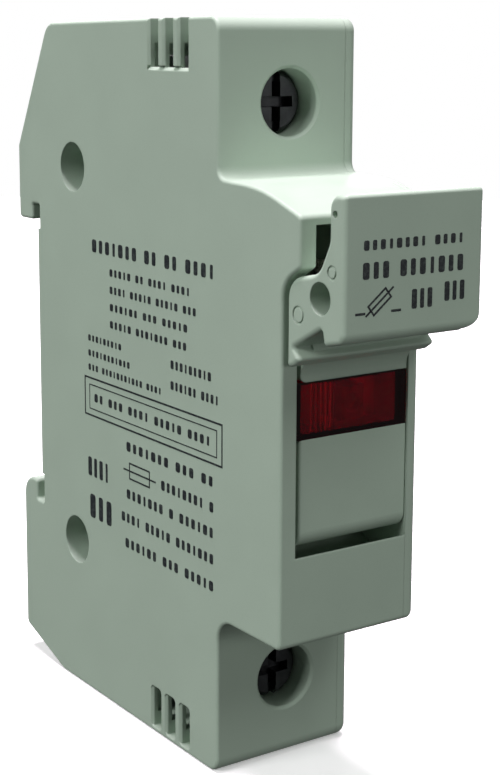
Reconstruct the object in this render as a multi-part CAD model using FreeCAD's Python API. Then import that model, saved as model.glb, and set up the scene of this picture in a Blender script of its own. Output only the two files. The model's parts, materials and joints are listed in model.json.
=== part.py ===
import FreeCAD, Part
import math
import os

# Cartridge fuse holder for one 10 x 38 mm fuse link, 17.8 mm wide, on a 35 mm rail.
#
# Frame, in millimetres: Z is up, X runs across the width, and -Y is the front.
# The origin is the middle of the seat that rests on the rail: the housing lies at Y < 0,
# and only the two hooks that grip the rail reach behind it.

V = FreeCAD.Vector

# ---------------------------------------------------------------- driving dimensions
WIDTH = 17.8                 # one standard module
HEIGHT_ABOVE = 40.9          # rail centre to the top of the housing, at its front
TOP_REAR = 40.4              # the top falls a little towards the rear
HEIGHT_BELOW = 39.8          # rail centre to the underside
TERMINAL_FRONT = -40.0       # front face over the terminals
NOSE_FRONT = -51.3           # front face of the 45 mm nose
NOSE_STEP_FRONT = -54.2      # its upper part stands further out, beside the handle
NOSE_BOTTOM = -22.2
HANDLE_FRONT = -60.6         # deepest point of the closed holder
HOOK_REAR = 5.1
RAIL_GAP_TOP = 16.5          # lip of the upper hook
RAIL_GAP_BOTTOM = -16.7      # lip of the lower hook
SEAT_HALF = 15.5             # the seat reaches this far above and below the origin
GROOVE_TOP = 18.5            # the grooves take the edges of the rail's flanges
GROOVE_BOTTOM = -19.2
GROOVE_DEPTH = 1.6

ROOM_TOP = 38.4              # inner ends of the walls above and below the terminals
ROOM_BOTTOM = -38.0
SIDE_WALL = 1.9              # big wall of the left shell
COVER = 1.6                  # thickness of the right cover
LEFT_EDGE = 0.35             # rounding of the left shell's outer edges
RIGHT_EDGE = 1.0             # and of the cover's
FUSE_RADIUS = 5.15
FUSE_LENGTH = 38.0
CAP_LENGTH = 10.0

LEFT = -WIDTH / 2
RIGHT = WIDTH / 2
CAVITY_LEFT = LEFT + SIDE_WALL
CAVITY_RIGHT = RIGHT - COVER
MID = (CAVITY_LEFT + CAVITY_RIGHT) / 2     # middle plane of everything inside

FUSE_Y = -35.6               # axis of the closed fuse
FUSE_Z = -2.4                # its middle
PIVOT_Y = -46.9              # the carrier swings about this point
PIVOT_Z = -10.3
EAR_RADIUS = 2.6             # round boss of the carrier about the pin
PIN_RADIUS = 1.5
RUNNING = 0.05               # clearance round turning parts
SLIDING = 0.1                # clearance beside sliding parts

HANDLE_HALF = 8.6            # the handle is nearly as wide as the housing
OPENING_TOP = 21.15
SILL = -12.75

SCREW_Z = {"upper": 32.1, "lower": -30.7}
CAP_Z = {"upper": FUSE_Z + 14.0, "lower": FUSE_Z - 14.0}
SCREW_HEAD_RADIUS = 3.2
ACCESS_RADIUS = 3.55
THREAD_RADIUS = 2.5          # M5
CAGE_FRONT = -29.4           # cage in its open position
CAGE_REAR = -12.7
CAGE_TRAVEL = 5.6            # seven turns of the screw
THREAD_PITCH = 0.8
WIRE_Y = -17.9               # axis of the wire entries
WIRE_RADIUS = 3.6

GANG_RADIUS = 2.9
GANG_Y = -9.0
GANG_Z = {"upper": 23.7, "lower": -21.7}
SEAL_RADIUS = 1.6
SEAL_Y = -57.05
SEAL_Z = 14.55

BODY_LEFT = CAVITY_LEFT + SLIDING
BODY_RIGHT = CAVITY_RIGHT - SLIDING

PANEL_FRONT = -51.1
PANEL_THICK = 1.7
PANEL_BOTTOM = -12.0
PANEL_LEFT = BODY_LEFT + 0.45
PANEL_EDGE = 0.3             # rounding of the panel's left edge, beside which a narrow gap shows
LENS_TOP = 5.1
LENS_BOTTOM = -0.75
LENS_FRONT = PANEL_FRONT + 0.05
LENS_WALL = 1.0
LENS_REAR = PANEL_FRONT + 4.5
LAMP_X = MID + 0.6
LAMP_HALF = 1.4              # half width of the lamp holder
LAMP_LOW = 0.35              # window behind the lens for the lamp holder
LAMP_HIGH = 4.0
LAMP_Z = (LAMP_LOW + LAMP_HIGH) / 2
LAMP_RADIUS = 1.0
BOARD_FRONT = LENS_REAR + 1.1
BOARD_REAR = BOARD_FRONT + 1.0

LATCH_TRAVEL = 2.5
LATCH_FRONT = 1.7
LATCH_REAR = 3.7
LATCH_TOP = -21.1            # shoulders of the catch at rest
LATCH_LOW = -32.6
LATCH_NOSE = -15.7           # tip of its nose, behind the rail's lower edge
NOTCH_TOP = -22.6            # the spring stands in a notch open to the left
NOTCH_LOW = -30.3
SPRING_SEAT = -28.8          # top of the housing's peg inside that notch

STRIP = 1.0                  # copper strip of the contacts and terminal bars
JAW_HALF_HEIGHT = 3.4
BASE_Y = -26.4               # middle of the strip behind the fuse
BAR_Y = -21.9                # middle of the strip at the terminals
LINK_Z = {"upper": 18.9, "lower": -22.0}

VENT_Y = -30.4               # middle slot of each group of three
VENT_PITCH = 3.0
VENT_HALF = 0.85
VENT_FLARE = 0.3             # the long edges of a slot slope outwards
VENT_WALL = 0.8              # the wall is thinner behind the slots
VENTS = {"upper": (35.6, 42.0, 0.2), "lower": (-39.3, -34.3, 0.6)}   # low, high, corner radius

# Round pegs of the cover, as (y, z), each in a thick part of the body.
PEGS = [(-38.2, 27.0), (-15.5, 22.2), (-16.0, -20.8), (-38.2, -24.8), (-5.0, -31.0)]


# ---------------------------------------------------------------- shape helpers
def box(x0, x1, y0, y1, z0, z1):
    return Part.makeBox(x1 - x0, y1 - y0, z1 - z0, V(x0, y0, z0))


def disc(direction, centre, radius, length):
    """Solid cylinder from centre along direction."""
    return Part.makeCylinder(radius, length, centre, direction)


def across(y, z, radius, x0, x1):
    """Cylinder along X between x0 and x1."""
    return disc(V(1, 0, 0), V(x0, y, z), radius, x1 - x0)


def round_corner(before, corner, after, radius):
    """Start, middle and end of the arc that rounds one corner."""
    to_before = (before - corner).normalize()
    to_after = (after - corner).normalize()
    half = to_before.getAngle(to_after) / 2
    reach = radius / math.tan(half)
    inward = (to_before + to_after).normalize()
    centre = corner + inward * (radius / math.sin(half))
    return corner + to_before * reach, centre - inward * radius, corner + to_after * reach


def outline_face(points, radii):
    """Flat face inside a closed outline whose corners are rounded by their own radii."""
    count = len(points)
    arcs = []
    for i, corner in enumerate(points):
        if radii[i]:
            arcs.append(round_corner(points[i - 1], corner, points[(i + 1) % count], radii[i]))
        else:
            arcs.append((corner, None, corner))
    edges = []
    for i, (start, middle, end) in enumerate(arcs):
        if middle is not None:
            edges.append(Part.Arc(start, middle, end).toShape())
        following = arcs[(i + 1) % count][0]
        if (following - end).Length > 1e-6:
            edges.append(Part.makeLine(end, following))
    return Part.Face(Part.Wire(edges))


def slab(corners, x0, x1):
    """Solid between X = x0 and x1 with an outline of (y, z, corner radius)."""
    points = [V(x0, y, z) for y, z, radius in corners]
    return outline_face(points, [c[2] for c in corners]).extrude(V(x1 - x0, 0, 0))


def layer(corners, z0, z1):
    """Solid between Z = z0 and z1 with an outline of (x, y, corner radius)."""
    points = [V(x, y, z0) for x, y, radius in corners]
    return outline_face(points, [c[2] for c in corners]).extrude(V(0, 0, z1 - z0))


def prism_along_y(corners, y0, y1):
    """Solid between Y = y0 and y1 with an outline of (x, z)."""
    points = [V(x, y0, z) for x, z in corners]
    return Part.Face(Part.makePolygon(points + [points[0]])).extrude(V(0, y1 - y0, 0))


def corner_waste(x, z, across_sign, radius, y0, y1):
    """What is cut off to round a lower corner at (x, z); its arc lies towards across_sign."""
    centre_x, centre_z = x + across_sign * radius, z + radius
    low, high = sorted((x - across_sign, centre_x))
    square = box(low, high, y0, y1, z - 1, centre_z)
    return square.cut(disc(V(0, 1, 0), V(centre_x, y0 - 1, centre_z), radius, y1 - y0 + 2))


def strip_corners(path, thick, bend):
    """Outline of sheet metal of one thickness bent along a path of (a, b) points."""
    sides = ([], [])
    last = len(path) - 1
    for i, (a, b) in enumerate(path):
        here = V(a, b, 0)
        arriving = here - V(*path[i - 1], 0) if i else V(*path[1], 0) - here
        leaving = V(*path[i + 1], 0) - here if i < last else arriving
        arriving.normalize()
        leaving.normalize()
        normal = V(-arriving.y - leaving.y, arriving.x + leaving.x, 0).normalize()
        reach = thick / 2 / math.cos(arriving.getAngle(leaving) / 2)
        turn = arriving.x * leaving.y - arriving.y * leaving.x
        for side, sign in zip(sides, (1, -1)):
            point = here + normal * (sign * reach)
            inside = sign * turn > 0
            radius = 0 if abs(turn) < 1e-9 else bend + (0 if inside else thick)
            side.append((point.x, point.y, radius))
    return sides[0] + sides[1][::-1]


def fuse(shapes):
    """One solid from shapes that touch or overlap."""
    return shapes[0].fuse(shapes[1:]).removeSplitter()


def carve(solid, tools):
    return solid.cut(tools).removeSplitter()


def save(name, shape):
    shape.exportStep(os.path.join("parts", name + ".step"))
    print(f"{name:26s} solids {len(shape.Solids)}  valid {shape.isValid()}  {shape.Volume:9.2f} mm3")


# ---------------------------------------------------------------- housing
def side_outline():
    """The profile seen from the side, from the upper hook round by the front."""
    return [
        (HOOK_REAR, RAIL_GAP_TOP, 0.6),
        (HOOK_REAR, 25.5, 0.8),
        (-2.9, TOP_REAR, 2.5),
        (TERMINAL_FRONT, HEIGHT_ABOVE, 1.4),
        (TERMINAL_FRONT, 24.6, 1.2),
        (-47.5, 24.35, 20.0),
        (NOSE_STEP_FRONT, 22.1, 0.6),
        (NOSE_STEP_FRONT, 17.1, 0.5),
        (NOSE_FRONT, 15.4, 3.0),
        (NOSE_FRONT, NOSE_BOTTOM, 0.6),
        (TERMINAL_FRONT, NOSE_BOTTOM, 2.5),
        (TERMINAL_FRONT, -HEIGHT_BELOW, 1.5),
        (-4.9, -HEIGHT_BELOW, 1.0),
        (HOOK_REAR, -36.7, 0.8),
        (HOOK_REAR, RAIL_GAP_BOTTOM, 2.4),
        (GROOVE_DEPTH, RAIL_GAP_BOTTOM, 0.4),
        (GROOVE_DEPTH, GROOVE_BOTTOM, 0.3),
        (-0.25, GROOVE_BOTTOM, 0.3),
        (-0.25, -SEAT_HALF, 0),
        (0, -SEAT_HALF, 0),
        (0, SEAT_HALF, 0),
        (-0.25, SEAT_HALF, 0),
        (-0.25, GROOVE_TOP, 0.3),
        (GROOVE_DEPTH, GROOVE_TOP, 0.3),
        (GROOVE_DEPTH, RAIL_GAP_TOP, 0.4),
    ]


def swing(radius, x0, x1):
    """Disc about the carrier's pivot, which clears whatever turns inside it."""
    return across(PIVOT_Y, PIVOT_Z, radius, x0, x1)


def chamber(x0, x1):
    """Room for the closed carrier and for its swing through the front."""
    sweep = swing(32.2, x0, x1).common(box(x0, x1, -60, -36, 0, 22.9))
    roof = slab([(-37, 22.6, 0), (-46.5, 22.6, 8.0), (-52.4, 21.15, 0), (-60, 21.15, 0),
                 (-60, 0, 0), (-37, 0, 0)], x0, x1)
    front = box(x0, x1, -60, -48, SILL, OPENING_TOP)
    rear = box(x0, x1, -49, -24.6, -11, 19.9)
    low = fuse([box(x0, x1, -41.4, -24.6, -21.7, -11), box(x0, x1, -38.5, -24.6, -23.2, -21)])
    sill_radius = math.hypot(NOSE_FRONT - PIVOT_Y, SILL - PIVOT_Z)
    ear_room = swing(sill_radius, x0, x1)
    joining = box(x0, x1, -49, -40, -13.5, 0)
    return fuse([sweep.common(roof), front, rear, low, ear_room, joining])


def terminal_room(end, x0, x1):
    """Pocket for a terminal's screw, cage and bar, and the bar's way to the fuse."""
    sign = 1 if end == "upper" else -1
    outer = ROOM_TOP if end == "upper" else ROOM_BOTTOM
    low, high = sorted((SCREW_Z[end] - sign * 5.6, outer))
    room = box(x0, x1, -36.4, -12.1, low, high)
    low, high = sorted((LINK_Z[end] - sign * 0.9, SCREW_Z[end]))
    way = box(MID - 3.8, x1, BAR_Y - 0.8, BAR_Y + 0.9, low, high)
    low, high = sorted((LINK_Z[end] - sign * 0.9, LINK_Z[end] + sign * 0.9))
    link_way = box(MID - 3.8, x1, -25, BAR_Y + 0.9, low, high)
    return fuse([room, way, link_way])


def wire_entry(end):
    """Round entry with a funnel, straight above or below the cage's window."""
    sign = 1 if end == "upper" else -1
    outer = HEIGHT_ABOVE if end == "upper" else -HEIGHT_BELOW
    axis = V(0, 0, sign)
    centre = V(MID, WIRE_Y, outer - sign * 2.5)
    mouth = V(MID, WIRE_Y, outer - sign * 0.8)
    funnel = Part.makeCone(WIRE_RADIUS, WIRE_RADIUS + 0.8, 0.8, mouth, axis)
    return disc(axis, centre, WIRE_RADIUS, 3).fuse(funnel)


def driver_access(end):
    """Round hole for the screwdriver, with a small chamfer at its mouth."""
    mouth = V(MID, TERMINAL_FRONT, SCREW_Z[end])
    chamfer = Part.makeCone(ACCESS_RADIUS + 0.3, ACCESS_RADIUS, 0.3, mouth, V(0, 1, 0))
    return disc(V(0, 1, 0), mouth - V(0, 1, 0), ACCESS_RADIUS, 5).fuse(chamfer)


def lightening(x0, x1):
    """Hollows that keep the moulding's walls even."""
    return [
        slab([(-23, -16.4, 1), (-1.8, -16.4, 1), (-1.8, 18.2, 1), (-23, 18.2, 1)], x0, x1),
        slab([(-49.6, -20.4, 1), (-42.4, -20.4, 1), (-42.4, -17.0, 1), (-49.6, -17.0, 1)], x0, x1),
        slab([(-9.6, 29.4, 0.8), (0.3, 29.4, 0.8), (-4.6, 38.4, 0.8), (-9.6, 38.4, 0.8)], x0, x1),
        slab([(-38.2, 21.4, 0.5), (-24.4, 21.4, 0.5), (-24.4, 25.0, 0.5), (-38.2, 22.8, 0.5)], x0, x1),
    ]


def vent(face, sign, y, low, high, radius):
    """One upright slot through the wall at X = face, whose outside is towards sign."""
    half, wide = VENT_HALF, VENT_HALF + VENT_FLARE
    neck, inner = face - sign * VENT_FLARE, face - sign * (SIDE_WALL + 0.1)
    slot = layer([(face + sign, y - wide, 0), (face, y - wide, 0), (neck, y - half, 0),
                  (inner, y - half, 0), (inner, y + half, 0), (neck, y + half, 0),
                  (face, y + wide, 0), (face + sign, y + wide, 0)], low, high)
    ends = slab([(y - wide, low, radius), (y + wide, low, radius),
                 (y + wide, high, radius), (y - wide, high, radius)], -WIDTH, WIDTH)
    return slot.common(ends)


def vents(face, sign):
    """Three slots beside each terminal, a thinner wall behind them and a lip below the upper ones."""
    front, rear = VENT_Y - VENT_PITCH - 1.4, VENT_Y + VENT_PITCH + 1.4
    thin, inner = face - sign * VENT_WALL, face - sign * (SIDE_WALL + 0.1)
    x0, x1 = sorted((thin, inner))
    cuts = []
    for end, (low, high, radius) in VENTS.items():
        back_low, back_high = max(low - 0.4, ROOM_BOTTOM + 0.3), min(high + 0.4, ROOM_TOP - 0.3)
        cuts.append(box(x0, x1, front, rear, back_low, back_high))
        for i in (-1, 0, 1):
            cuts.append(vent(face, sign, VENT_Y + i * VENT_PITCH, low, high, radius))
    low = VENTS["upper"][0]
    lip = [(face + sign, low - 1.35), (face - sign * 0.35, low), (face - sign * 0.35, low + 0.15),
           (face + sign, low + 0.15)]
    cuts.append(prism_along_y(lip, front + 0.25, rear - 0.25))
    return cuts


def latch_channel(x0, x1):
    """Slot that guides the rail latch, with a narrow mouth at each end and the spring's peg."""
    front, rear = LATCH_FRONT - SLIDING, LATCH_REAR + SLIDING
    wide = box(x0, x1, front, rear, LATCH_LOW - LATCH_TRAVEL - SLIDING, LATCH_TOP + SLIDING)
    mouth = box(MID - 4.4, x1, front, rear, -45, -10)
    peg = box(MID - 1.2, MID + 1.2, front - 1, rear + 1, NOTCH_LOW + SLIDING, SPRING_SEAT)
    return fuse([wide, mouth]).cut(peg)


def gang_holes(x0, x1):
    return [across(GANG_Y, z, GANG_RADIUS, x0, x1) for z in GANG_Z.values()]


def rim_edges(solid, x):
    """Edges of the big face at X = x, except those round the rail."""
    edges = []
    for edge in solid.Edges:
        bounds = edge.BoundBox
        if abs(bounds.XMin - x) < 0.01 and bounds.XLength < 0.01 and bounds.YMax < -2:
            edges.append(edge)
    return edges


def housing_body():
    x0, x1 = CAVITY_LEFT, CAVITY_RIGHT + 1
    solid = slab(side_outline(), LEFT, CAVITY_RIGHT)
    solid = solid.makeFillet(LEFT_EDGE, rim_edges(solid, LEFT))
    rooms = [chamber(x0, x1), latch_channel(x0, x1)]
    rooms += [terminal_room(end, x0, x1) for end in SCREW_Z]
    rooms += [wire_entry(end) for end in SCREW_Z]
    rooms += [driver_access(end) for end in SCREW_Z]
    rooms += lightening(x0, x1)
    rooms += vents(LEFT, -1)
    rooms += gang_holes(LEFT - 1, RIGHT)
    rooms += [across(y, z, 1.05, CAVITY_RIGHT - 4.2, RIGHT) for y, z in PEGS]
    rooms.append(across(PIVOT_Y, PIVOT_Z, PIN_RADIUS, CAVITY_LEFT - 1.1, x1))
    return carve(solid, rooms)


def housing_cover():
    plate = slab(side_outline(), CAVITY_RIGHT, RIGHT)
    rounded = plate.makeFillet(RIGHT_EDGE, rim_edges(plate, RIGHT))
    holes = gang_holes(CAVITY_RIGHT - 1, RIGHT + 1)
    holes += vents(RIGHT, 1)
    holes.append(across(PIVOT_Y, PIVOT_Z, PIN_RADIUS, CAVITY_RIGHT - 1, CAVITY_RIGHT + 1.0))
    pegs = [across(y, z, 1.0, CAVITY_RIGHT - 4.0, CAVITY_RIGHT + 0.2) for y, z in PEGS]
    return fuse([carve(rounded, holes)] + pegs)


# ---------------------------------------------------------------- carrier
def handle():
    """The pull: a plate that stands out over the nose, and its foot round the finger groove."""
    outline = [
        (-51.75, 7.05, 0.2),
        (-51.75, 15.85, 2.4),
        (-56.6, 16.85, 2.2),
        (-58.25, 20.0, 2.0),
        (-58.25, 24.55, 1.4),
        (HANDLE_FRONT, 24.55, 0.35),
        (HANDLE_FRONT, 10.7, 1.1),
        (-57.6, 10.0, 0.3),
        (-57.2, 11.6, 0.25),
        (-52.75, 9.2, 0.2),
        (-53.95, 8.1, 0.25),
        (-52.8, 7.35, 0.2),
    ]
    pull = slab(outline, -HANDLE_HALF, HANDLE_HALF)
    sides = [edge for edge in pull.Edges
             if edge.BoundBox.YMax < HANDLE_FRONT + 0.01 and edge.BoundBox.ZLength > 5]
    pull = pull.makeFillet(0.5, sides)
    return pull.cut(corner_waste(HANDLE_HALF, 10.7, -1, 2.3, -62, -57.2))


def soften(solid):
    """Rounds the panel's left edge, which ends in the round lower corner."""
    edges = []
    for edge in solid.Edges:
        bounds = edge.BoundBox
        at_left = bounds.XMax < PANEL_LEFT + 0.01
        at_front = bounds.YMin < PANEL_FRONT + 0.01 and bounds.YMax < PANEL_FRONT + PANEL_THICK + 0.05
        if at_left and at_front:
            edges.append(edge)
    return solid.makeFillet(PANEL_EDGE, edges)


def carrier_front():
    """Front wall from its round lower edge up to the handle's neck, hollowed under the lip."""
    back = PANEL_FRONT + PANEL_THICK
    panel = slab([(PANEL_FRONT, LENS_BOTTOM, 0), (PANEL_FRONT, PANEL_BOTTOM, PANEL_THICK),
                  (PIVOT_Y, PANEL_BOTTOM, 0), (PIVOT_Y, PIVOT_Z, 0), (back, -7.8, 0),
                  (back, LENS_BOTTOM, 0)], PANEL_LEFT, BODY_RIGHT)
    lamp_wall = box(BODY_LEFT, BODY_RIGHT, LENS_REAR, LENS_REAR + 1.0, LENS_BOTTOM - 3, LENS_TOP + 3)
    neck = slab([(PANEL_FRONT, LENS_TOP, 0), (PANEL_FRONT, 7.0, 2.0), (-53.6, 7.95, 0),
                 (-52.6, 10.5, 0), (-52.6, 14.0, 0), (-49.2, 15.8, 1.0), (-49.2, LENS_TOP, 0)],
                PANEL_LEFT, BODY_RIGHT)
    neck = neck.cut(corner_waste(PANEL_LEFT, LENS_TOP, 1, 0.8, PANEL_FRONT - 0.5, -49.2))
    return [soften(panel), lamp_wall, neck]


def cradle():
    """Side plates and a saddle that hold the middle of the fuse, clear of the jaws' paths."""
    outline = [
        (PANEL_FRONT + 1.5, -9.0, 0), (-41.0, -11.5, 0), (-32.6, -11.5, 0.8),
        (-31.6, -10.0, 0.6), (-31.6, 9.5, 0.5), (-42.0, 9.5, 0), (-42.0, 14.0, 2.0),
        (PANEL_FRONT + 1.5, 14.0, 0),
    ]
    inner_left = MID - FUSE_RADIUS - 0.15
    inner_right = MID + FUSE_RADIUS + 0.15
    inside_jaws = swing(19.5, BODY_LEFT - 1, BODY_RIGHT + 1)
    ahead_of_jaws = box(BODY_LEFT - 1, BODY_RIGHT + 1, -60, -40.6, -20, 20)
    allowed = inside_jaws.fuse(ahead_of_jaws)
    pieces = [slab(outline, x0, x1).common(allowed)
              for x0, x1 in ((BODY_LEFT, inner_left), (inner_right, BODY_RIGHT))]
    for x_inner, inward in ((inner_left, 1), (inner_right, -1)):
        x0, x1 = sorted((x_inner - inward * 0.3, x_inner + inward))
        pieces.append(box(x0, x1, -32.2, -31.6, -9.0, 2.0))
    pieces.append(box(inner_left - 0.3, inner_right + 0.3, -42.4, FUSE_Y - FUSE_RADIUS - 0.15, -7.0, 4.5))
    return pieces


def handle_marks():
    """A small blind hole and two faint ejector rings on the handle's left side."""
    face = -HANDLE_HALF
    marks = [across(-59.2, 22.7, 0.35, face - 1, face + 0.5)]
    for y, z, radius in ((-58.8, 17.2, 0.7), (-53.6, 12.5, 0.9)):
        ring = across(y, z, radius, face - 1, face + 0.12)
        marks.append(ring.cut(across(y, z, radius - 0.2, face - 1, face + 0.12)))
    return marks


def fuse_carrier():
    ear = swing(EAR_RADIUS, PANEL_LEFT, BODY_RIGHT)
    solid = fuse([handle(), ear] + carrier_front() + cradle())
    lens_room = box(BODY_LEFT - 1, BODY_RIGHT + 1, PANEL_FRONT - 1, LENS_REAR, LENS_BOTTOM, LENS_TOP)
    half = LAMP_HALF + RUNNING
    lamp_window = box(LAMP_X - half, LAMP_X + half, -48, -44, LAMP_LOW, LAMP_HIGH)
    seal_hole = across(SEAL_Y, SEAL_Z, SEAL_RADIUS, LEFT, RIGHT)
    pin_hole = across(PIVOT_Y, PIVOT_Z, PIN_RADIUS + RUNNING, LEFT, RIGHT)
    return carve(solid, [lens_room, lamp_window, seal_hole, pin_hole] + handle_marks())


def pivot_pin():
    return across(PIVOT_Y, PIVOT_Z, PIN_RADIUS, CAVITY_LEFT - 1.1, CAVITY_RIGHT + 1.0)


# ---------------------------------------------------------------- indicator
def indicator_lens():
    """Red window, hollow behind, with upright ribs that spread the light left of the lamp."""
    solid = box(BODY_LEFT, BODY_RIGHT, LENS_FRONT, LENS_REAR, LENS_BOTTOM, LENS_TOP)
    inner = LENS_FRONT + LENS_WALL
    hollow = box(BODY_LEFT + LENS_WALL, BODY_RIGHT - LENS_WALL, inner, LENS_REAR + 1,
                 LENS_BOTTOM + 0.4, LENS_TOP - 0.4)
    ribs = []
    for i in range(5):
        x = MID - 4.4 + 0.6 * i
        ribs.append(box(x - 0.15, x + 0.15, inner - 0.3, inner + 0.35, LENS_BOTTOM + 0.2, LENS_TOP - 0.2))
    return fuse([solid.cut(hollow)] + ribs)


def lamp_holder():
    """Small dark block round the lamp, seen through the window."""
    block = box(LAMP_X - LAMP_HALF, LAMP_X + LAMP_HALF, LENS_FRONT + LENS_WALL + 0.1, BOARD_FRONT,
                LAMP_LOW + RUNNING, LAMP_HIGH - RUNNING)
    return block.cut(disc(V(0, 1, 0), V(LAMP_X, LENS_FRONT, LAMP_Z), LAMP_RADIUS + RUNNING, 8))


def indicator_lamp():
    """Light-emitting diode with a domed front and two legs."""
    front, back = -48.8, BOARD_FRONT - 0.8
    body = disc(V(0, 1, 0), V(LAMP_X, front, LAMP_Z), LAMP_RADIUS, back - front)
    dome = Part.makeSphere(LAMP_RADIUS, V(LAMP_X, front, LAMP_Z))
    legs = [disc(V(0, 1, 0), V(LAMP_X + x, back - 0.5, LAMP_Z), 0.22, BOARD_FRONT - back + 0.5)
            for x in (-0.5, 0.5)]
    return fuse([body, dome] + legs)


def indicator_board():
    return box(MID - 4.9, MID + 4.9, BOARD_FRONT, BOARD_REAR, -4.0, 8.6)


def indicator_resistors():
    """Two series resistors lying across the back of the board."""
    radius = 0.75
    parts = []
    for z in (5.6, -2.9):
        y = BOARD_REAR + radius
        body = across(y, z, radius - 0.12, MID - 2.6, MID + 2.6)
        ends = [across(y, z, radius, MID + side * 2.4 - 0.6, MID + side * 2.4 + 0.6) for side in (-1, 1)]
        parts.append(fuse([body] + ends))
    return Part.makeCompound(parts)


def indicator_contact(end):
    """Leaf spring from the board to the front of one cap."""
    thick = 0.25
    back = BOARD_REAR + thick / 2
    touch = FUSE_Y - FUSE_RADIUS - thick / 2 - 0.05
    if end == "upper":
        path = [(back, 6.9), (back, 10.4), (-42.2, 12.2), (touch, 10.2)]
    else:
        path = [(back, -2.0), (back, -5.2), (-41.6, -8.6), (touch, -13.6)]
    return slab(strip_corners(path, thick, 0.3), MID + 3.2, MID + 4.8)


# ---------------------------------------------------------------- fuse link
def fuse_tube():
    """Ceramic tube, waisted at both ends where the caps are pressed on."""
    def ring(outer, inner, z0, z1):
        wall = disc(V(0, 0, 1), V(MID, FUSE_Y, z0), outer, z1 - z0)
        return wall.cut(disc(V(0, 0, 1), V(MID, FUSE_Y, z0), inner, z1 - z0))
    half = FUSE_LENGTH / 2 - 0.6
    middle = FUSE_LENGTH / 2 - CAP_LENGTH
    whole = ring(FUSE_RADIUS - 0.5, 3.2, FUSE_Z - half, FUSE_Z + half)
    waist = ring(FUSE_RADIUS - 0.2, FUSE_RADIUS - 0.6, FUSE_Z - middle, FUSE_Z + middle)
    return fuse([whole, waist])


def fuse_cap(end):
    """Drawn cup with a rounded end."""
    sign = 1 if end == "upper" else -1
    tip = V(MID, FUSE_Y, FUSE_Z + sign * FUSE_LENGTH / 2)
    inward = V(0, 0, -sign)
    cup = disc(inward, tip, FUSE_RADIUS, CAP_LENGTH)
    rim = [edge for edge in cup.Edges
           if abs(edge.BoundBox.ZMin - tip.z) < 0.01 and abs(edge.BoundBox.ZMax - tip.z) < 0.01]
    cup = cup.makeFillet(0.6, rim)
    return cup.cut(disc(inward, tip + inward * 0.6, FUSE_RADIUS - 0.5, CAP_LENGTH))


def fuse_element():
    """Notched strip between the caps."""
    half = FUSE_LENGTH / 2 - 0.6
    strip = box(MID - 1.2, MID + 1.2, FUSE_Y - 0.1, FUSE_Y + 0.1, FUSE_Z - half, FUSE_Z + half)
    notches = [disc(V(0, 1, 0), V(MID + side * 1.3, FUSE_Y - 1, FUSE_Z + z), 0.75, 2)
               for side in (-1, 1) for z in (-10, -5, 0, 5, 10)]
    return strip.cut(notches)


def fuse_filler(element):
    """Quartz sand that fills the tube round the element."""
    half = FUSE_LENGTH / 2 - 0.6
    sand = disc(V(0, 0, 1), V(MID, FUSE_Y, FUSE_Z - half), 3.2, 2 * half)
    return sand.cut(element)


# ---------------------------------------------------------------- contacts and terminals
def contact(end):
    """Copper strip folded into two jaws for the cap, and led on to the terminal."""
    jaw = FUSE_RADIUS + 0.02 + STRIP / 2
    path = [(MID - jaw - 0.7, -39.4), (MID - jaw, -38.0), (MID - jaw, BASE_Y),
            (MID + jaw, BASE_Y), (MID + jaw, -38.0), (MID + jaw + 0.7, -39.4)]
    low, high = CAP_Z[end] - JAW_HALF_HEIGHT, CAP_Z[end] + JAW_HALF_HEIGHT
    jaws = layer(strip_corners(path, STRIP, 0.5), low, high)
    sign = 1 if end == "upper" else -1
    lead = [(BASE_Y, CAP_Z[end]), (BASE_Y, LINK_Z[end]), (BAR_Y, LINK_Z[end]),
            (BAR_Y, SCREW_Z[end] + sign * 4.5)]
    bar = slab(strip_corners(lead, STRIP, 0.4), MID - 3.5, MID + 3.5)
    return fuse([jaws, bar])


def contact_spring(end):
    """Steel clip round the back of the jaws, which presses them on the cap."""
    thick = 0.45
    out = FUSE_RADIUS + 0.04 + STRIP + thick / 2
    back = BASE_Y + STRIP / 2 + 0.02 + thick / 2
    path = [(MID - out, -37.4), (MID - out, back), (MID + out, back), (MID + out, -37.4)]
    return layer(strip_corners(path, thick, 0.6), CAP_Z[end] - 2.4, CAP_Z[end] + 2.4)


def terminal_cage(end):
    """Square band with a thick threaded front, which the screw draws towards the bar."""
    z = SCREW_Z[end]
    outer = box(MID - 4.8, MID + 4.8, CAGE_FRONT, CAGE_REAR, z - 4.6, z + 4.6)
    upright = [edge for edge in outer.Edges if edge.BoundBox.ZLength > 5]
    outer = outer.makeFillet(0.8, upright)
    window = box(MID - 3.75, MID + 3.75, CAGE_FRONT + 2.4, CAGE_REAR - 1.7, z - 6, z + 6)
    thread = disc(V(0, 1, 0), V(MID, CAGE_FRONT - 1, z), THREAD_RADIUS + RUNNING, 5)
    return carve(outer, [window, thread])


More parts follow.
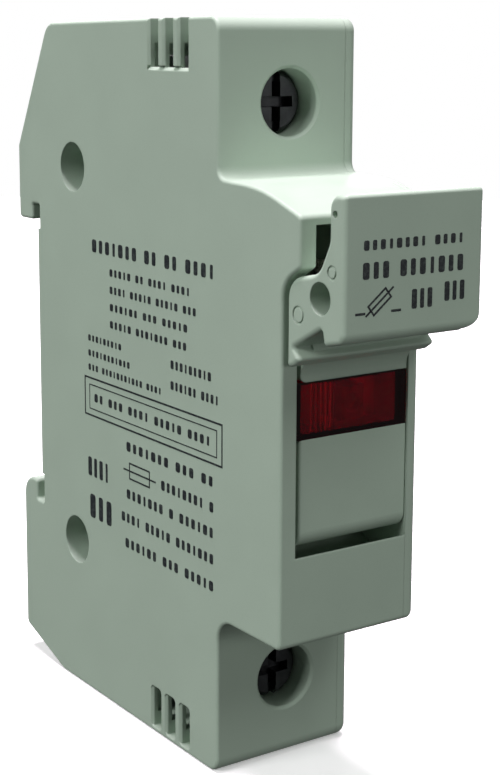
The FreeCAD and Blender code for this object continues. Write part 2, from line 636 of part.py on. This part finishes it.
def terminal_screw(end):
    """M5 screw with a slotted cross head; its tip bears on the bar."""
    z = SCREW_Z[end]
    head_rear = CAGE_FRONT - CAGE_TRAVEL - 0.2
    head_front = head_rear - 2.2
    tip = BAR_Y - STRIP / 2 - 0.05
    profile = [(0, head_front), (SCREW_HEAD_RADIUS - 0.4, head_front), (SCREW_HEAD_RADIUS, head_front + 0.4),
               (SCREW_HEAD_RADIUS, head_rear), (THREAD_RADIUS - 0.4, head_rear)]
    turns = int((tip - 1.0 - (head_rear + 0.6)) / THREAD_PITCH)
    for i in range(turns):
        y = head_rear + 0.6 + i * THREAD_PITCH
        profile += [(THREAD_RADIUS - 0.4, y), (THREAD_RADIUS, y + 0.3), (THREAD_RADIUS, y + 0.5)]
    profile += [(THREAD_RADIUS - 0.4, tip - 0.8), (THREAD_RADIUS - 1.0, tip), (0, tip)]
    points = [V(MID + r, y, z) for r, y in profile]
    outline = Part.makePolygon(points + [points[0]])
    screw = Part.Face(outline).revolve(V(MID, 0, z), V(0, 1, 0), 360)
    slot = box(MID - 0.5, MID + 0.5, head_front - 1, head_front + 1.1, z - 4, z + 4)
    cross = box(MID - 2.1, MID + 2.1, head_front - 1, head_front + 1.5, z - 0.55, z + 0.55)
    middle = box(MID - 0.55, MID + 0.55, head_front - 1, head_front + 1.5, z - 2.1, z + 2.1)
    return carve(screw, [slot, cross, middle])


# ---------------------------------------------------------------- rail latch
def rail_latch():
    """Sliding catch whose sloped nose snaps behind the rail's lower edge."""
    wide = box(BODY_LEFT, BODY_RIGHT, LATCH_FRONT, LATCH_REAR, LATCH_LOW, LATCH_TOP)
    nose = slab([(LATCH_FRONT, -22, 0), (LATCH_FRONT, LATCH_NOSE, 0.2), (LATCH_FRONT + 0.6, LATCH_NOSE, 0.2),
                 (LATCH_REAR, -17.9, 0.3), (LATCH_REAR, -22, 0)], MID - 4.2, MID + 4.2)
    tail = box(MID - 3.0, MID + 3.0, LATCH_FRONT, LATCH_REAR, -39.6, -32)
    notch = box(LEFT, MID + 1.35, LATCH_FRONT - 1, LATCH_REAR + 1, NOTCH_LOW, NOTCH_TOP)
    pry_slot = box(MID - 1.8, MID + 1.8, LATCH_FRONT - 1, LATCH_REAR + 1, -38.9, -37.9)
    return carve(fuse([wide, nose, tail]), [notch, pry_slot])


def latch_spring():
    """Coil spring between the housing's peg and the top of the latch's notch."""
    wire, coil = 0.17, 0.75
    low, high = SPRING_SEAT + wire + 0.02, NOTCH_TOP - wire - 0.02
    turns = 6
    helix = Part.makeHelix((high - low) / turns, high - low, coil)
    section = Part.Wire(Part.makeCircle(wire, V(coil, 0, 0), V(0, 1, 0)))
    spring = Part.Wire(helix).makePipeShell([section], True, True)
    spring.translate(V(MID, (LATCH_FRONT + LATCH_REAR) / 2, low))
    return spring


def main():
    os.makedirs("parts", exist_ok=True)
    element = fuse_element()
    pieces = {
        "housing_body": housing_body(),
        "housing_cover": housing_cover(),
        "fuse_carrier": fuse_carrier(),
        "carrier_pivot_pin": pivot_pin(),
        "indicator_lens": indicator_lens(),
        "lamp_holder": lamp_holder(),
        "indicator_lamp": indicator_lamp(),
        "indicator_board": indicator_board(),
        "indicator_resistors": indicator_resistors(),
        "fuse_tube": fuse_tube(),
        "fuse_element": element,
        "fuse_filler": fuse_filler(element),
        "rail_latch": rail_latch(),
        "latch_spring": latch_spring(),
    }
    for end in SCREW_Z:
        pieces[f"indicator_contact_{end}"] = indicator_contact(end)
        pieces[f"fuse_cap_{end}"] = fuse_cap(end)
        pieces[f"contact_{end}"] = contact(end)
        pieces[f"contact_spring_{end}"] = contact_spring(end)
        pieces[f"terminal_cage_{end}"] = terminal_cage(end)
        pieces[f"terminal_screw_{end}"] = terminal_screw(end)
    for name, shape in pieces.items():
        save(name, shape)


main()
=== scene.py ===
import json
import math

import bmesh
import bpy
from mathutils import Matrix, Vector


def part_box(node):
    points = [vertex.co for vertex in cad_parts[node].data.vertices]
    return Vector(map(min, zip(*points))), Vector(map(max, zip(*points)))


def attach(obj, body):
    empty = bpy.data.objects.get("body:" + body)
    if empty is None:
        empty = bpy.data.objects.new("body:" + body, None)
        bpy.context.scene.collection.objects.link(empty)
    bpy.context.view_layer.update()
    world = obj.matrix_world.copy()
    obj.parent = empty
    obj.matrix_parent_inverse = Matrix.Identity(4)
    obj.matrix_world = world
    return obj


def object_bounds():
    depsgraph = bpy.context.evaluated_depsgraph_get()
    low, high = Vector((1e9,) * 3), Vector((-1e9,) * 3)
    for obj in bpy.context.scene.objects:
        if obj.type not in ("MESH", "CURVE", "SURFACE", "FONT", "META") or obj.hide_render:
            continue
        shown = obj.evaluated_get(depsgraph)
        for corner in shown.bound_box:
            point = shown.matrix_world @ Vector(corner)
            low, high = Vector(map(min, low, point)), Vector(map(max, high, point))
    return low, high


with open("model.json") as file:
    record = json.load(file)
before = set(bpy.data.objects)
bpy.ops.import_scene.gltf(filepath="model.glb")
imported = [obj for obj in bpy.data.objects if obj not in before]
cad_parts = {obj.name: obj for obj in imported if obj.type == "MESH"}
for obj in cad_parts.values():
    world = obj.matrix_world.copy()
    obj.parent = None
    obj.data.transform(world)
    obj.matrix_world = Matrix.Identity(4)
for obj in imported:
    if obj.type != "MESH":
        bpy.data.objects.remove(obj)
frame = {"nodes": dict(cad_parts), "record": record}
cad_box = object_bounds()

MM = 0.001
WHITE = (1, 1, 1)


# ---------------------------------------------------------------- material building
class Graph:
    """One node material, with short calls to add and join its nodes."""

    def __init__(self, name):
        self.material = bpy.data.materials.new(name)
        self.material.use_nodes = True
        self.tree = self.material.node_tree
        self.shader = self.tree.nodes["Principled BSDF"]
        self.place = self.add("ShaderNodeTexCoord").outputs["Object"]

    def add(self, kind, inputs=None, **settings):
        """A node with its settings and its inputs, each a value or another node's output."""
        node = self.tree.nodes.new(kind)
        for name, value in settings.items():
            setattr(node, name, value)
        for name, value in (inputs or {}).items():
            self.feed(node, name, value)
        return node

    def feed(self, node, name, value):
        if isinstance(value, bpy.types.NodeSocket):
            self.tree.links.new(value, node.inputs[name])
        else:
            node.inputs[name].default_value = value

    def surface(self, **values):
        """Sets inputs of the surface shader; an underscore stands for a blank in a name."""
        for name, value in values.items():
            self.feed(self.shader, name.replace("_", " "), value)

    def noise(self, grain, detail=3.0, rough=0.55, stretch=(1, 1, 1)):
        """Noise whose features are about grain millimetres across, less along a stretched axis."""
        place = self.add("ShaderNodeMapping", {"Vector": self.place, "Scale": stretch}).outputs["Vector"]
        settings = {"Vector": place, "Scale": 1 / (grain * MM), "Detail": detail, "Roughness": rough}
        return self.add("ShaderNodeTexNoise", settings).outputs["Fac"]

    def spread(self, value, low, high, from_low=0.3, from_high=0.7):
        """Maps a noise value to the range low to high."""
        settings = {"Value": value, "From Min": from_low, "From Max": from_high,
                    "To Min": low, "To Max": high}
        return self.add("ShaderNodeMapRange", settings).outputs["Result"]

    def times(self, first, second):
        """Product of two values."""
        return self.add("ShaderNodeMath", {0: first, 1: second}, operation="MULTIPLY").outputs[0]

    def blend(self, factor, first, second):
        """Colour between two colours."""
        mix = self.add("ShaderNodeMix", data_type="RGBA")
        self.feed(mix, 0, factor)
        for socket, value in ((6, first), (7, second)):
            if isinstance(value, bpy.types.NodeSocket):
                self.tree.links.new(value, mix.inputs[socket])
            else:
                mix.inputs[socket].default_value = (*value, 1)
        return mix.outputs[2]

    def bump(self, height, depth, edge=0.0):
        """Surface relief depth millimetres deep, over edges softened by edge millimetres."""
        inputs = {"Height": height, "Distance": depth * MM, "Strength": 1.0}
        if edge:
            inputs["Normal"] = self.add("ShaderNodeBevel", {"Radius": edge * MM}, samples=4).outputs["Normal"]
        return self.add("ShaderNodeBump", inputs).outputs["Normal"]


def moulded_plastic(name, colour, edge=0.22, rough=0.5):
    """Spark-eroded matt plastic with slight flow marks and paler, smoother rubbed places."""
    g = Graph(name)
    pale = [c * 1.03 for c in colour]
    deep = [c * 0.97 for c in colour]
    flow = g.spread(g.noise(12.0, 5), 0, 1)
    tone = g.blend(flow, deep, pale)
    speck = g.spread(g.noise(0.16, 2), 0, 1, 0.62, 0.75)
    tone = g.blend(g.times(speck, 0.25), tone, [c * 0.72 for c in colour])
    grain = g.noise(0.14, 3, 0.6)
    g.surface(Base_Color=tone, Roughness=g.spread(g.noise(3.0), rough - 0.05, rough + 0.07),
              IOR=1.5, Normal=g.bump(grain, 0.012, edge))
    return g.material


def red_window(name):
    """Clear dark red plastic with faint upright flow lines."""
    g = Graph(name)
    flow = g.spread(g.noise(0.9, 2, stretch=(1, 0.1, 0.1)), 0, 1)
    tone = g.blend(flow, (0.3, 0.002, 0.01), (0.48, 0.004, 0.019))
    g.surface(Base_Color=tone, Transmission_Weight=0.985, IOR=1.49, Specular_IOR_Level=0.06,
              Roughness=g.spread(g.noise(1.2), 0.1, 0.2), Normal=g.bump(g.noise(0.6, 2), 0.004))
    return g.material


def black_plastic(name):
    g = Graph(name)
    tone = g.blend(g.spread(g.noise(1.5), 0, 1), (0.012, 0.012, 0.013), (0.03, 0.03, 0.03))
    g.surface(Base_Color=tone, Roughness=g.spread(g.noise(0.8), 0.35, 0.5),
              Normal=g.bump(g.noise(0.12), 0.008, 0.1))
    return g.material


def cloudy_resin(name):
    g = Graph(name)
    tone = g.blend(g.spread(g.noise(0.7), 0, 1), (0.07, 0.008, 0.005), (0.14, 0.03, 0.02))
    g.surface(Base_Color=tone, Transmission_Weight=0.45, Roughness=g.spread(g.noise(0.5), 0.15, 0.3), IOR=1.5,
              Normal=g.bump(g.noise(0.3), 0.003))
    return g.material


def laminate(name):
    """Bare circuit board: a fine glass weave under amber resin."""
    g = Graph(name)
    waves = []
    for axis in "XZ":
        settings = {"Vector": g.place, "Scale": 1 / (2.4 * MM), "Distortion": 0.6}
        waves.append(g.add("ShaderNodeTexWave", settings, bands_direction=axis).outputs["Fac"])
    weave = g.times(*waves)
    g.surface(Base_Color=g.blend(weave, (0.3, 0.22, 0.08), (0.46, 0.37, 0.16)),
              Roughness=g.spread(g.noise(0.6), 0.3, 0.45), Normal=g.bump(weave, 0.01))
    return g.material


def lacquer(name):
    """Resistor lacquer with colour rings round its length."""
    g = Graph(name)
    low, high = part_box("indicator_resistors")
    x = g.add("ShaderNodeSeparateXYZ", {"Vector": g.place}).outputs["X"]
    along = g.spread(x, 0, 1, low.x, high.x)
    bands = g.add("ShaderNodeValToRGB", {"Fac": along})
    ramp = bands.color_ramp
    ramp.interpolation = "CONSTANT"
    beige = (0.55, 0.4, 0.22, 1)
    brown, black, orange, gold = (0.2, 0.06, 0.02), (0.01, 0.01, 0.01), (0.5, 0.2, 0.01), (0.4, 0.3, 0.06)
    ramp.elements[0].color = ramp.elements[1].color = beige
    for start, colour in ((0.24, brown), (0.38, black), (0.52, orange), (0.72, gold)):
        ramp.elements.new(start).color = (*colour, 1)
        ramp.elements.new(start + 0.06).color = beige
    g.surface(Base_Color=bands.outputs["Color"], Roughness=g.spread(g.noise(0.5), 0.22, 0.35),
              Normal=g.bump(g.noise(0.4), 0.006))
    return g.material


def metal(name, colour, rough=0.3, stretch=(1, 1, 1), grain=0.3, dull=0.8, edge=0.08):
    """Bare or plated metal with fine marks drawn out along one axis and duller patches."""
    g = Graph(name)
    marks = g.noise(grain, 3, 0.6, stretch)
    patches = g.spread(g.noise(2.2, 3), 0, 1)
    g.surface(Base_Color=g.blend(patches, [c * dull for c in colour], colour), Metallic=1.0,
              Roughness=g.spread(g.noise(0.9), rough - 0.07, rough + 0.1), Normal=g.bump(marks, 0.006, edge))
    return g.material


def ceramic(name):
    g = Graph(name)
    tone = g.blend(g.spread(g.noise(2.5), 0, 1), (0.68, 0.65, 0.58), (0.8, 0.78, 0.72))
    g.surface(Base_Color=tone, Roughness=g.spread(g.noise(1.0), 0.35, 0.5), Subsurface_Weight=0.05,
              Subsurface_Radius=(0.001, 0.001, 0.001), Normal=g.bump(g.noise(0.2), 0.006, 0.1))
    return g.material


def sand(name):
    g = Graph(name)
    cells = g.add("ShaderNodeTexVoronoi", {"Vector": g.place, "Scale": 1 / (0.3 * MM)})
    tone = g.blend(g.spread(g.noise(0.3), 0, 1), (0.5, 0.45, 0.36), (0.78, 0.74, 0.66))
    g.surface(Base_Color=tone, Roughness=0.8, Normal=g.bump(cells.outputs["Distance"], 0.08))
    return g.material


def printing_ink(name):
    """Dark pad-printed ink, a little thin and broken in places."""
    g = Graph(name)
    thin = g.spread(g.noise(0.35, 4), 0, 1, 0.45, 0.75)
    g.surface(Base_Color=g.blend(thin, (0.012, 0.016, 0.02), (0.06, 0.075, 0.07)),
              Roughness=g.spread(g.noise(0.5), 0.4, 0.6), Normal=g.bump(g.noise(0.15), 0.004))
    return g.material


PLASTIC = (0.425, 0.535, 0.435)
STEEL = (0.62, 0.63, 0.64)
finishes = {
    "housing": moulded_plastic("housing_plastic", PLASTIC),
    "carrier": moulded_plastic("carrier_plastic", [c * 1.02 for c in PLASTIC], edge=0.2, rough=0.46),
    "latch": moulded_plastic("latch_plastic", [c * 0.9 for c in PLASTIC]),
    "dark_plastic": black_plastic("lamp_block_plastic"),
    "lens_red": red_window("window_red"),
    "lamp_clear": cloudy_resin("lamp_resin"),
    "circuit_board": laminate("board_laminate"),
    "resistor_body": lacquer("resistor_lacquer"),
    "pin_steel": metal("pin_steel", STEEL, 0.25, (1, 8, 8)),
    "spring_steel": metal("spring_steel", (0.5, 0.5, 0.52), 0.25, (1, 1, 6)),
    "zinc_steel": metal("zinc_steel", (0.66, 0.67, 0.68), 0.33, grain=0.5),
    "screw_steel": metal("screw_steel", (0.07, 0.073, 0.076), 0.4, (4, 1, 4), dull=0.6),
    "plated_copper": metal("silver_plate", (0.82, 0.8, 0.74), 0.26, (1, 6, 1), dull=0.85),
    "plated_cap": metal("nickel_plate", (0.74, 0.72, 0.68), 0.2, (6, 6, 1), dull=0.9),
    "spring_bronze": metal("spring_bronze", (0.78, 0.5, 0.24), 0.28, (6, 1, 1)),
    "element_silver": metal("bright_silver", (0.85, 0.84, 0.82), 0.2, (6, 6, 1)),
    "fuse_ceramic": ceramic("tube_ceramic"),
    "quartz_sand": sand("quartz_sand"),
}
ink = printing_ink("print_ink")

slot_of = {part["node"]: part["material_slot"] for part in frame["record"]["subparts"]}
for node, piece in frame["nodes"].items():
    finish = finishes[slot_of[node]]
    if piece.data.materials:
        for held in piece.material_slots:
            held.material = finish
    else:
        piece.data.materials.append(finish)


# ---------------------------------------------------------------- printed marks
class Print:
    """Thin raised ink on a flat face; a and b are millimetres right and up on that face."""

    THICK = 0.02                                 # the ink stands out by this much
    LETTER_WIDTHS = (0.66, 0.5, 0.6, 0.34)       # widths of the blank letters, as parts of their pitch
    WORD_GAP = 0.8                               # in pitches

    def __init__(self, to_frame):
        self.to_frame = to_frame
        self.mesh = bmesh.new()

    def patch(self, corners):
        """One closed plate of ink with the given outline, counter-clockwise from in front."""
        lower = [self.mesh.verts.new(self.to_frame(a, b, -self.THICK)) for a, b in corners]
        upper = [self.mesh.verts.new(self.to_frame(a, b, self.THICK)) for a, b in corners]
        self.mesh.faces.new(upper)
        self.mesh.faces.new(lower[::-1])
        for i in range(len(corners)):
            j = (i + 1) % len(corners)
            self.mesh.faces.new((lower[i], lower[j], upper[j], upper[i]))

    def bar(self, a, b, width, height, rounding=0.45, about=(0, 0), tilt=0.0):
        """Bar centred at (a, b) with rounded corners, turned as a whole by tilt degrees about a point."""
        radius = rounding * min(width, height)
        turn = Matrix.Rotation(math.radians(tilt), 2)
        pivot = Vector(about)
        corners = []
        for quarter in range(4):
            side = 1 if quarter in (0, 3) else -1
            up = 1 if quarter in (0, 1) else -1
            for step in range(4):
                angle = math.radians(90 * quarter + 30 * step)
                corner = Vector((a + side * (width / 2 - radius) + radius * math.cos(angle),
                                 b + up * (height / 2 - radius) + radius * math.sin(angle)))
                corners.append(turn @ (corner - pivot) + pivot)
        self.patch(corners)

    def words(self, left, right, b, height, lengths):
        """A line of blank words centred at b, each a row of as many upright bars as it has letters."""
        pitch = (right - left) / (sum(lengths) + self.WORD_GAP * (len(lengths) - 1))
        a = left
        for length in lengths:
            for place in range(length):
                width = pitch * self.LETTER_WIDTHS[place % len(self.LETTER_WIDTHS)]
                self.bar(a + pitch * 0.45, b, width, height, 0.3)
                a += pitch
            a += pitch * self.WORD_GAP

    def frame(self, left, right, low, high, line, **turned):
        """Rectangle drawn with a line of one width."""
        for b in (low, high):
            self.bar((left + right) / 2, b, right - left + line, line, 0.1, **turned)
        for a in (left, right):
            self.bar(a, (low + high) / 2, line, high - low - line, 0.1, **turned)

    def fuse_symbol(self, a, b, width, height, line, tilt=0.0):
        """The usual circuit symbol of a fuse: a rectangle with the wire through it."""
        turned = {"about": (a, b), "tilt": tilt}
        self.frame(a - width / 2, a + width / 2, b - height / 2, b + height / 2, line, **turned)
        for side in (-1, 1):
            self.bar(a + side * width * 0.66, b, width * 0.3, line, 0.1, **turned)
        self.bar(a, b, width - 1.2 * line, line, 0.1, **turned)

    def piece(self, name, body):
        """Makes all that was printed into one piece that moves with a body."""
        data = bpy.data.meshes.new(name)
        bmesh.ops.recalc_face_normals(self.mesh, faces=self.mesh.faces)
        self.mesh.to_mesh(data)
        self.mesh.free()
        data.materials.append(ink)
        made = bpy.data.objects.new(name, data)
        bpy.context.scene.collection.objects.link(made)
        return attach(made, body)


def print_side():
    """Blank lines on the housing's left side, laid out like a rating text."""
    left_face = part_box("housing_body")[0].x

    def to_frame(a, b, out):
        return Vector((left_face - out * MM, -a * MM, b * MM))

    marks = Print(to_frame)
    marks.words(13.4, 39.7, 14.9, 1.5, (7, 2, 2, 4))
    for b, right, lengths in ((12.2, 34.9, (5, 2, 4, 4)), (10.2, 36.1, (4, 5, 5, 3)),
                              (8.2, 34.4, (6, 3, 5)), (6.2, 34.2, (5, 7, 3))):
        marks.words(17.5, right, b, 0.85, lengths)
    for b, right, lengths in ((3.9, 20.3, (9,)), (2.1, 22.2, (11,)), (0.4, 29.0, (3, 11, 4))):
        marks.words(12.3, right, b, 0.75, lengths)
    marks.words(30.7, 39.0, 3.8, 0.95, (9,))
    marks.words(30.7, 40.4, 1.5, 0.95, (6, 4))
    marks.frame(11.5, 40.9, -5.4, -0.9, 0.22)
    marks.frame(12.6, 39.9, -4.6, -1.7, 0.14)
    marks.words(13.6, 38.9, -3.15, 1.0, (2, 3, 4, 5, 4))
    marks.fuse_symbol(24.0, -10.2, 4.4, 1.8, 0.2)
    for b, left, lengths in ((-7.4, 21.0, (7, 3, 2)), (-10.2, 28.6, (8, 1)), (-13.0, 21.0, (7, 1, 6)),
                             (-15.9, 19.8, (4, 5, 7)), (-18.9, 20.6, (6, 3, 5))):
        marks.words(left, 39.5, b, 1.1, lengths)
    for left, right, b, height, letters in ((11.9, 17.2, -11.7, 2.3, 4), (12.2, 18.0, -16.5, 2.9, 3)):
        marks.words(left, right, b, height, (letters,))
    return marks.piece("side_print", "housing")


def print_handle():
    """Blank lines and the circuit symbol of a fused switch on the front of the handle."""
    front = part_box("fuse_carrier")[0].y

    def to_frame(a, b, out):
        return Vector((a * MM, front - out * MM, b * MM))

    marks = Print(to_frame)
    marks.words(-6.4, 6.2, 19.8, 0.95, (8, 4))
    marks.words(-6.5, 6.3, 17.4, 1.6, (3, 7))
    marks.fuse_symbol(-4.3, 14.4, 2.6, 1.1, 0.2, tilt=38)
    for a in (-6.6, -2.3):
        marks.bar(a, 13.4, 1.2, 0.24, 0.1)
    marks.words(-0.5, 2.4, 14.3, 1.9, (3,))
    marks.words(3.6, 6.5, 14.7, 1.9, (3,))
    return marks.piece("handle_print", "carrier")


print_side()
print_handle()


# ---------------------------------------------------------------- floor, light and camera
AIM = Vector((0, -0.02, 0))                      # the lights point here
FLOOR_RADIUS = 0.6


def studio_floor():
    """Round white floor under the object, which gives no light back to it."""
    mesh = bmesh.new()
    bmesh.ops.create_circle(mesh, cap_ends=True, segments=96, radius=FLOOR_RADIUS,
                            matrix=Matrix.Translation((0, 0, cad_box[0].z)))
    data = bpy.data.meshes.new("floor")
    mesh.to_mesh(data)
    mesh.free()
    g = Graph("floor_paint")
    tone = g.blend(g.spread(g.noise(60.0), 0, 1), (0.86, 0.86, 0.86), (0.9, 0.9, 0.9))
    g.surface(Base_Color=tone, Roughness=0.85, Emission_Color=(*WHITE, 1), Emission_Strength=0.3,
              Normal=g.bump(g.noise(2.0), 0.02))
    data.materials.append(g.material)
    floor = bpy.data.objects.new("floor", data)
    floor.visible_diffuse = False
    floor.visible_glossy = False
    bpy.context.scene.collection.objects.link(floor)


def softbox(name, place, width, height, watts, colour=WHITE):
    """Rectangular light aimed at the object; the camera doesn't see the light itself."""
    light = bpy.data.lights.new(name, "AREA")
    light.shape = "RECTANGLE"
    light.color = colour
    light.size = width
    light.size_y = height
    light.energy = watts
    lamp = bpy.data.objects.new(name, light)
    lamp.location = place
    lamp.rotation_euler = (AIM - Vector(place)).to_track_quat("-Z", "Y").to_euler()
    lamp.visible_camera = False
    bpy.context.scene.collection.objects.link(lamp)


def sky(shown, given):
    """Even surroundings: the brightness that the camera sees, and the fill that they give."""
    world = bpy.data.worlds.new("studio")
    world.use_nodes = True
    tree = world.node_tree
    path = tree.nodes.new("ShaderNodeLightPath")
    strength = tree.nodes.new("ShaderNodeMapRange")
    strength.inputs["To Min"].default_value = given
    strength.inputs["To Max"].default_value = shown
    tree.links.new(path.outputs["Is Camera Ray"], strength.inputs["Value"])
    backdrop = tree.nodes["Background"]
    backdrop.inputs["Color"].default_value = (*WHITE, 1)
    tree.links.new(strength.outputs["Result"], backdrop.inputs["Strength"])
    bpy.context.scene.world = world


def camera(place, heading, pitch, roll, lens, shift):
    """Camera at a place in millimetres, turned by angles in degrees.

    The heading turns from +Y towards +X, and the pitch is below the horizon.
    """
    data = bpy.data.cameras.new("camera")
    data.lens = lens
    data.sensor_width = 36
    data.shift_y = shift
    yaw, dip, tilt = (math.radians(v) for v in (heading, pitch, roll))
    forward = Vector((math.sin(yaw) * math.cos(dip), math.cos(yaw) * math.cos(dip), -math.sin(dip)))
    level = Vector((math.cos(yaw), -math.sin(yaw), 0))
    upward = level.cross(forward)
    right = level * math.cos(tilt) + upward * math.sin(tilt)
    upward = upward * math.cos(tilt) - level * math.sin(tilt)
    turn = Matrix((right, upward, -forward)).transposed()
    data.clip_start = 0.01
    eye = bpy.data.objects.new("camera", data)
    eye.matrix_world = Matrix.Translation(Vector(place) * MM) @ turn.to_4x4()
    bpy.context.scene.collection.objects.link(eye)
    bpy.context.scene.camera = eye


studio_floor()
sky(shown=1.0, given=0.08)
softbox("top_light", (0, 0.04, 1.2), 0.6, 0.25, 24, colour=(1, 0.86, 0.97))
softbox("front_light", (0.2, -0.72, 0.92), 0.5, 0.6, 3.6)
softbox("low_light", (0.3, -1.05, 0.16), 0.5, 0.3, 1.6)
softbox("left_light", (-1.0, -0.05, 0.62), 0.5, 0.5, 8.6)
softbox("back_light", (0.6, 1.0, 0.4), 0.6, 0.5, 5)
camera((-97.43, -174.37, 38.61), heading=34.57, pitch=9.34, roll=0.26, lens=73.74, shift=-0.113)
bpy.context.scene.view_settings.view_transform = "Standard"
